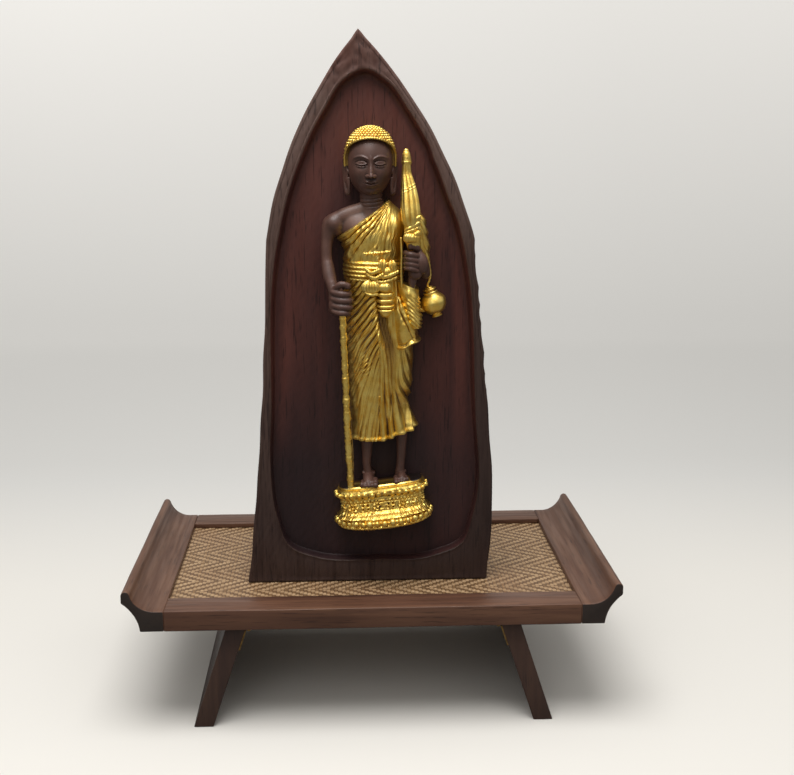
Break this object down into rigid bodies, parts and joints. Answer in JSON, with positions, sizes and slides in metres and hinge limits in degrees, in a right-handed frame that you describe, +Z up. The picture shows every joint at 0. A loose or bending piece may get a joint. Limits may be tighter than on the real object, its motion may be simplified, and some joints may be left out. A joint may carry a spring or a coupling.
{
  "type": "carved niche statue on a folding stand",
  "caption": "Standing gilded monk in high relief in a pointed wood niche panel, on a low tray stand with scrolled ends, woven mat and folding plank legs.",
  "frame": {"origin": "on the floor under the middle of the stand's bounding box", "axes": "+X along the stand to the viewer's right, -Y to the front, +Z up"},
  "size_m": [0.4, 0.248, 0.5531],
  "materials": {
    "panel_wood": "dark oiled hardwood, hewn",
    "stand_wood": "dark brown satin varnish",
    "board_wood": "plain thin board",
    "hidden_wood": "plain dowel",
    "woven_mat": "herringbone split cane",
    "gold_leaf": "gold leaf over carving, dark in the hollows",
    "skin_lacquer": "dark brown satin lacquer",
    "hinge_metal": "satin",
    "screw_metal": "satin"
  },
  "bodies": {
    "stand": {"rail_front": "stand_wood", "rail_back": "stand_wood", "end_left": "stand_wood", "end_right": "stand_wood", "frame_dowels": "hidden_wood", "backing_panel": "board_wood", "woven_mat": "woven_mat", "hinge_leaves_frame": "hinge_metal", "hinge_pins": "hinge_metal", "hinge_screws_frame": "screw_metal"},
    "leg_left": {"leg_left": "stand_wood", "hinge_leaves_left": "hinge_metal", "hinge_screws_left": "screw_metal"},
    "leg_right": {"leg_right": "stand_wood", "hinge_leaves_right": "hinge_metal", "hinge_screws_right": "screw_metal"},
    "statue": {"arm_right": "skin_lacquer", "chest": "skin_lacquer", "figure_dowels": "hidden_wood", "foot_left": "skin_lacquer", "foot_right": "skin_lacquer", "hair_cap": "gold_leaf", "hand_left": "skin_lacquer", "hand_right": "skin_lacquer", "head": "skin_lacquer", "lower_robe": "gold_leaf", "niche_slab": "panel_wood", "pearl_rim_lower": "gold_leaf", "pearl_rim_upper": "gold_leaf", "pedestal_deck": "gold_leaf", "pedestal_waist": "gold_leaf", "pot_neck": "gold_leaf", "pot_spout": "gold_leaf", "pot_strap": "gold_leaf", "robe_end_lower": "gold_leaf", "robe_end_upper": "gold_leaf", "sash_knot": "gold_leaf", "sash_tail": "gold_leaf", "shin_left": "skin_lacquer", "shin_right": "skin_lacquer", "sleeve_drape": "gold_leaf", "staff": "gold_leaf", "umbrella_canopy": "gold_leaf", "umbrella_finial": "gold_leaf", "umbrella_handle": "skin_lacquer", "umbrella_tie": "gold_leaf", "upper_robe": "gold_leaf", "waist_sash": "gold_leaf", "water_pot": "gold_leaf"}
  },
  "joints": [
    {"name": "leg_left_fold", "type": "hinge", "parent": "stand", "child": "leg_left", "pos_m": [-0.10055, 0, 0.0844], "axis": [0, -1, 0], "range_deg": [0, 108]},
    {"name": "leg_right_fold", "type": "hinge", "parent": "stand", "child": "leg_right", "pos_m": [0.10055, 0, 0.0844], "axis": [0, 1, 0], "range_deg": [0, 108]},
    {"name": "statue_lift", "type": "slide", "parent": "stand", "child": "statue", "axis": [0, 0, 1], "range_m": [0, 0.06]}
  ]
}
